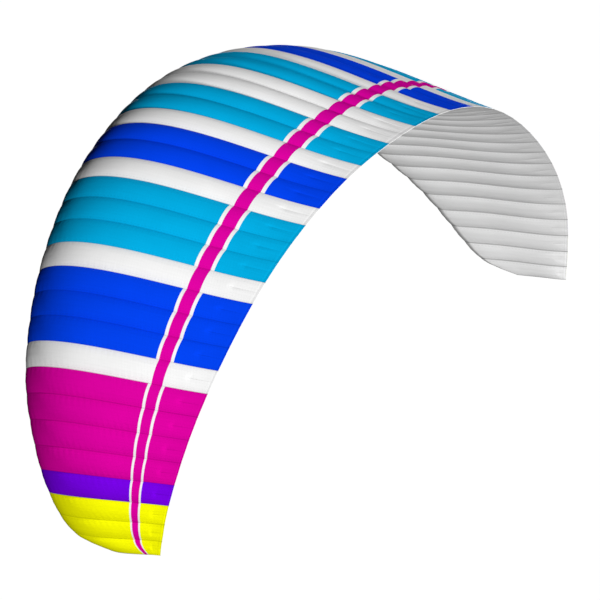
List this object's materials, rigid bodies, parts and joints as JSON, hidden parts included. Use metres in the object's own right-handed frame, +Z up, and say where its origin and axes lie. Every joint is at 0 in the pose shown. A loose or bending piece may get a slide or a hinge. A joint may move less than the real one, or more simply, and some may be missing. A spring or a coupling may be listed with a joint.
{
  "type": "paraglider wing",
  "caption": "Inflated ram-air paraglider wing: an arched, tapering canopy of two ripstop sheets held apart by profile ribs, with air intakes along the nose and closed tips.",
  "frame": {"origin": "on the lower sheet under the middle rib, 30% of its chord behind the nose, where the lines pull", "axes": "+X along the span towards the pilot's left tip, +Y from nose to trailing edge so that the wing flies towards -Y, +Z up. The wing is in its flying attitude, its middle chord 5 degrees nose down"},
  "size_m": [8.5008, 2.8552, 3.37],
  "materials": {
    "upper_cloth": "coated ripstop nylon in panels of several colours, soft sheen",
    "lower_cloth": "coated ripstop nylon, white, soft sheen",
    "rib_cloth": "stiff coated ripstop nylon, white, matt"
  },
  "bodies": {
    "root": {"upper_left_tip": "upper_cloth", "upper_left_middle": "upper_cloth", "upper_left_inner": "upper_cloth", "upper_right_inner": "upper_cloth", "upper_right_middle": "upper_cloth", "upper_right_tip": "upper_cloth", "lower_left_tip": "lower_cloth", "lower_left_middle": "lower_cloth", "lower_left_inner": "lower_cloth", "lower_right_inner": "lower_cloth", "lower_right_middle": "lower_cloth", "lower_right_tip": "lower_cloth", "rib_00": "rib_cloth", "rib_01": "rib_cloth", "rib_02": "rib_cloth", "rib_03": "rib_cloth", "rib_04": "rib_cloth", "rib_05": "rib_cloth", "rib_06": "rib_cloth", "rib_07": "rib_cloth", "rib_08": "rib_cloth", "rib_09": "rib_cloth", "rib_10": "rib_cloth", "rib_11": "rib_cloth", "rib_12": "rib_cloth", "rib_13": "rib_cloth", "rib_14": "rib_cloth", "rib_15": "rib_cloth", "rib_16": "rib_cloth", "rib_17": "rib_cloth", "rib_18": "rib_cloth", "rib_19": "rib_cloth", "rib_20": "rib_cloth", "rib_21": "rib_cloth", "rib_22": "rib_cloth", "rib_23": "rib_cloth", "rib_24": "rib_cloth", "rib_25": "rib_cloth", "rib_26": "rib_cloth", "rib_27": "rib_cloth", "rib_28": "rib_cloth", "rib_29": "rib_cloth", "rib_30": "rib_cloth", "rib_31": "rib_cloth", "rib_32": "rib_cloth", "rib_33": "rib_cloth", "rib_34": "rib_cloth", "rib_35": "rib_cloth", "rib_36": "rib_cloth", "rib_37": "rib_cloth", "rib_38": "rib_cloth", "rib_39": "rib_cloth", "rib_40": "rib_cloth", "rib_41": "rib_cloth", "rib_42": "rib_cloth", "rib_43": "rib_cloth", "rib_44": "rib_cloth", "rib_45": "rib_cloth", "rib_46": "rib_cloth"}
  },
  "joints": []
}
